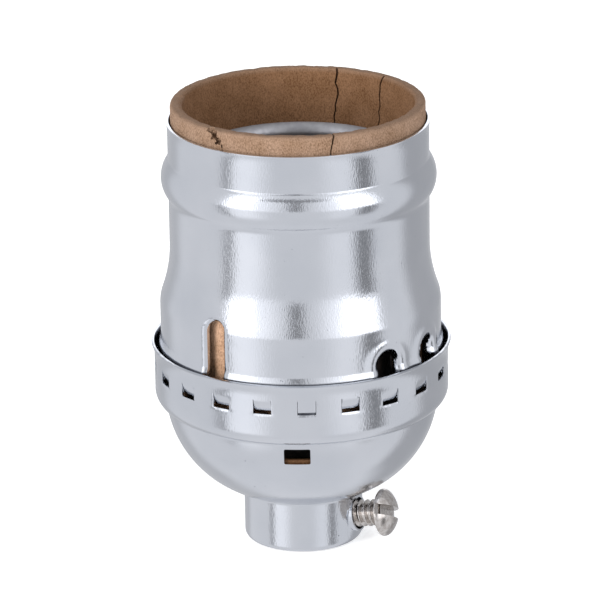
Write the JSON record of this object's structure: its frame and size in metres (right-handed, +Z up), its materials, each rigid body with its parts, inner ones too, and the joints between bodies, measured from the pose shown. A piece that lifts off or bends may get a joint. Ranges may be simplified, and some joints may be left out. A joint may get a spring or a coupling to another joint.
{
  "type": "lamp holder",
  "caption": "Keyless lamp holder: drawn metal casing with a fibre liner on a round cap, whose neck screws onto a pipe and is locked by a side set screw.",
  "frame": {"origin": "centre of the neck's lower face, on the axis of the holder", "axes": "+Z up along the axis, out of the lamp's mouth; -Y towards the small window below the ring, the front of the picture; +X to the right of it, the set screw's side"},
  "size_m": [0.0375, 0.0376, 0.057],
  "materials": {
    "casing_metal": "bright polished drawn sheet",
    "fibre": "rough vulcanised fibre paper",
    "zinc_steel": "zinc plated, dull",
    "nickel_steel": "nickel plated, satin",
    "phenolic": "moulded thermoset, satin",
    "brass": "stamped, plain",
    "shell_metal": "rolled sheet, satin",
    "rivet_metal": "plain"
  },
  "bodies": {
    "holder": {"cap": "casing_metal", "cap_liner": "fibre", "neck_bushing": "zinc_steel", "socket_body": "phenolic", "screw_shell": "shell_metal", "centre_contact": "brass", "contact_rivet": "brass", "neutral_terminal_plate": "brass", "hot_terminal_plate": "brass", "neutral_rivet": "rivet_metal", "shell_rivet_1": "rivet_metal", "shell_rivet_2": "rivet_metal"},
    "casing": {"outer_shell": "casing_metal", "insulating_liner": "fibre"},
    "set_screw": {"set_screw": "nickel_steel"},
    "neutral_screw": {"neutral_terminal_screw": "nickel_steel"},
    "hot_screw": {"hot_terminal_screw": "brass"}
  },
  "joints": [
    {"name": "casing_lift", "type": "slide", "parent": "holder", "child": "casing", "axis": [0, 0, 1], "range_m": [0, 0.036]},
    {"name": "set_screw_drive", "type": "slide", "parent": "holder", "child": "set_screw", "axis": [0.8067, -0.5649, 0.1736], "range_m": [-0.0012, 0.0016]},
    {"name": "neutral_screw_drive", "type": "slide", "parent": "holder", "child": "neutral_screw", "axis": [-0.6428, -0.766, 0], "range_m": [0, 0.0018]},
    {"name": "hot_screw_drive", "type": "slide", "parent": "holder", "child": "hot_screw", "axis": [0.6428, 0.766, 0], "range_m": [0, 0.0018]}
  ]
}
